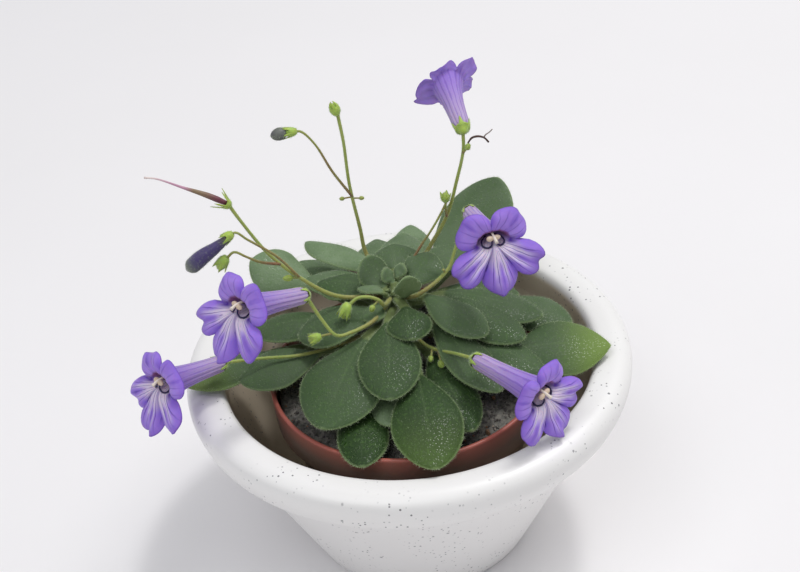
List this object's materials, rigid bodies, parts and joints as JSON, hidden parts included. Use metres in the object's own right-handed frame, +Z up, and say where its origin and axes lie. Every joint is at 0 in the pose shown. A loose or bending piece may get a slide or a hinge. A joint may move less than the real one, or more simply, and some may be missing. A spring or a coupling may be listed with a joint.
{
  "type": "potted primulina petrocosmeoides",
  "caption": "Flowering rosette plant with round hairy leaves and tubular violet flowers, in a brown nursery pot inside a white pot with a rolled rim.",
  "frame": {"origin": "middle of the white pot's flat base, on the surface it stands on", "axes": "+Z up along the pot's axis, -Y towards the front with the two largest front leaves, +X to the right seen from the front"},
  "size_m": [0.132, 0.12, 0.124],
  "materials": {
    "white_plastic": "satin",
    "brown_plastic": "matt",
    "soil": "rough",
    "leaf": "hairy, slightly glossy",
    "stalk": "hairy",
    "corolla": "velvety",
    "anther": "matt",
    "dark_bud": "velvety",
    "fruit": "matt",
    "dried": "matt"
  },
  "bodies": {
    "root": {"outer_pot": "white_plastic", "nursery_pot": "brown_plastic", "soil": "soil", "flower_1_corolla": "corolla", "flower_2_corolla": "corolla", "flower_3_corolla": "corolla", "flower_4_corolla": "corolla", "flower_5_corolla": "corolla", "flower_1_stamens": "anther", "flower_2_stamens": "anther", "flower_3_stamens": "anther", "flower_4_stamens": "anther", "flower_5_stamens": "anther", "bud_violet_left": "dark_bud", "bud_dark_back": "dark_bud", "fruit_left": "fruit", "dried_style": "dried", "stem": "leaf", "flower_stalk_1": "stalk", "flower_stalk_2": "stalk", "flower_stalk_3": "stalk", "flower_stalk_4": "stalk", "flower_stalk_5": "stalk", "fruit_stalk_left": "stalk", "bud_stalk_back": "stalk", "young_buds_front": "stalk", "leaf_young_centre": "leaf", "leaf_young_left": "leaf", "leaf_young_right": "leaf", "leaf_young_front": "leaf", "leaf_young_back": "leaf", "leaf_front_upper": "leaf", "leaf_left_upper": "leaf", "leaf_right_upper": "leaf", "leaf_left_broad": "leaf", "leaf_back_right_upper": "leaf", "leaf_back_upper": "leaf", "leaf_front_left": "leaf", "leaf_right_second": "leaf", "leaf_left_second": "leaf", "leaf_back_left_long": "leaf", "leaf_front_right_long": "leaf", "leaf_right_third": "leaf", "leaf_back_right_raised": "leaf", "leaf_back_low": "leaf", "leaf_left_third": "leaf", "leaf_right_shaded": "leaf", "leaf_front_over_rim": "leaf", "leaf_left_raised": "leaf", "leaf_right_low": "leaf", "leaf_right_over_rim": "leaf", "leaf_left_low": "leaf", "leaf_right_bright": "leaf", "leaf_front_right_low": "leaf", "leaf_front_low": "leaf", "leaf_left_over_rim": "leaf", "leaf_front_left_low": "leaf", "leaf_back_lower_right": "leaf", "leaf_back_lower_middle": "leaf", "leaf_back_lower_left": "leaf"}
  },
  "joints": []
}
